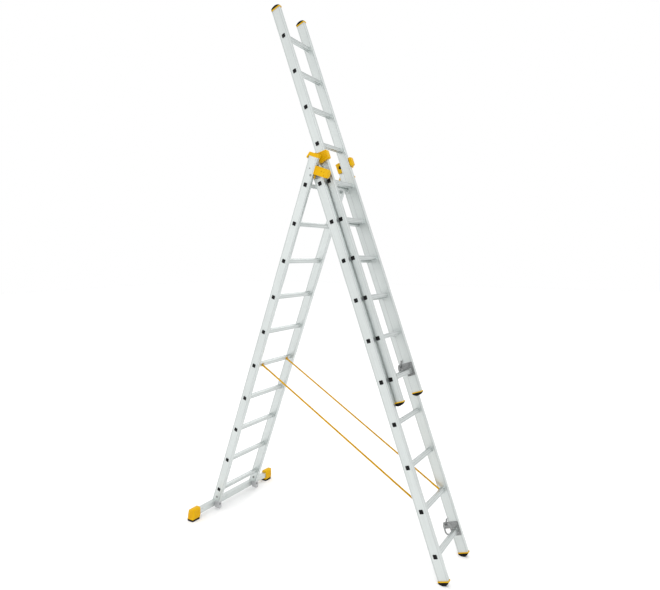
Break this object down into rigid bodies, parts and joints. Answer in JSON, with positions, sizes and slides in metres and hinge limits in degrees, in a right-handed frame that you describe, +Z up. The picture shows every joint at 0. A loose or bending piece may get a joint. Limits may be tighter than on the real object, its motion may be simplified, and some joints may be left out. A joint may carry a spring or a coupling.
{
  "type": "combination ladder",
  "caption": "Aluminium combination ladder in A-frame stance: crossbar-footed rear section, hinged front section and a raised extension section, held by webbing straps.",
  "frame": {"origin": "centre of the footprint, on the floor", "axes": "+Z up, +X towards the front section's feet, Y across the rungs"},
  "size_m": [2.0203, 0.96, 3.8466],
  "materials": {
    "stile_aluminium": "mill-finish extrusion, satin",
    "rung_aluminium": "mill-finish ribbed extrusion",
    "cast_aluminium": "fine cast",
    "zinc_steel": "zinc plated",
    "yellow_plastic": "moulded, satin",
    "black_plastic": "moulded",
    "black_rubber": "matt rubber",
    "strap_webbing": "woven polyester"
  },
  "bodies": {
    "front_section": {"front_left_stile": "stile_aluminium", "front_right_stile": "stile_aluminium", "front_rungs": "rung_aluminium", "front_rung_plugs": "black_plastic", "front_left_foot": "yellow_plastic", "front_left_sole": "black_rubber", "front_right_foot": "yellow_plastic", "front_right_sole": "black_rubber", "front_right_hook": "zinc_steel", "hinge_lug_left": "zinc_steel", "hinge_lug_right": "zinc_steel", "top_guide_left": "yellow_plastic", "top_guide_right": "yellow_plastic", "front_claw_pivots": "zinc_steel", "front_claw_springs": "zinc_steel", "front_rivets": "zinc_steel", "strap_left": "strap_webbing", "strap_right": "strap_webbing"},
    "rear_section": {"rear_left_stile": "stile_aluminium", "rear_right_stile": "stile_aluminium", "rear_rungs": "rung_aluminium", "rear_rung_plugs": "black_plastic", "crossbar": "stile_aluminium", "bar_bolts": "zinc_steel", "bar_saddle_left": "cast_aluminium", "bar_saddle_right": "cast_aluminium", "bar_shoe_left": "yellow_plastic", "bar_shoe_right": "yellow_plastic", "bar_sole_left": "black_rubber", "bar_sole_right": "black_rubber", "hinge_bracket_left": "yellow_plastic", "hinge_bracket_right": "yellow_plastic", "hinge_pins": "zinc_steel", "rear_left_cap": "yellow_plastic", "rear_right_cap": "yellow_plastic", "rear_rivets": "zinc_steel"},
    "upper_section": {"upper_left_stile": "stile_aluminium", "upper_right_stile": "stile_aluminium", "upper_rungs": "rung_aluminium", "upper_rung_plugs": "black_plastic", "upper_left_foot": "yellow_plastic", "upper_left_sole": "black_rubber", "upper_left_cap_lip": "yellow_plastic", "upper_left_end_cap": "black_rubber", "upper_left_hook": "zinc_steel", "upper_right_foot": "yellow_plastic", "upper_right_sole": "black_rubber", "upper_right_cap_lip": "yellow_plastic", "upper_right_end_cap": "black_rubber", "upper_right_hook": "zinc_steel", "upper_claw_pivots": "zinc_steel", "upper_claw_springs": "zinc_steel", "upper_rivets": "zinc_steel"},
    "front_right_claw": {"front_right_claw": "zinc_steel"},
    "upper_left_claw": {"upper_left_claw": "zinc_steel"},
    "upper_right_claw": {"upper_right_claw": "zinc_steel"}
  },
  "joints": [
    {"name": "rear_fold", "type": "hinge", "parent": "front_section", "child": "rear_section", "pos_m": [0.0221, 0, 2.60197], "axis": [0, -1, 0], "range_deg": [0, 39.97], "deforming": ["strap_left", "strap_right"]},
    {"name": "upper_slide", "type": "slide", "parent": "front_section", "child": "upper_section", "axis": [-0.3343, 0, 0.9425], "range_m": [-1.12, 0.56]},
    {"name": "front_right_claw_swing", "type": "hinge", "parent": "front_section", "child": "front_right_claw", "pos_m": [0.84743, 0, 0.18873], "axis": [0, 1, 0], "range_deg": [0, 10], "stiffness_Nm_per_rad": 0.3, "springref_deg": -20.05},
    {"name": "upper_left_claw_swing", "type": "hinge", "parent": "upper_section", "child": "upper_left_claw", "pos_m": [0.5223, 0, 1.26178], "axis": [0, 1, 0], "range_deg": [0, 10], "stiffness_Nm_per_rad": 0.3, "springref_deg": -20.05},
    {"name": "upper_right_claw_swing", "type": "hinge", "parent": "upper_section", "child": "upper_right_claw", "pos_m": [0.5223, 0, 1.26178], "axis": [0, 1, 0], "range_deg": [0, 10], "stiffness_Nm_per_rad": 0.3, "springref_deg": -20.05}
  ]
}
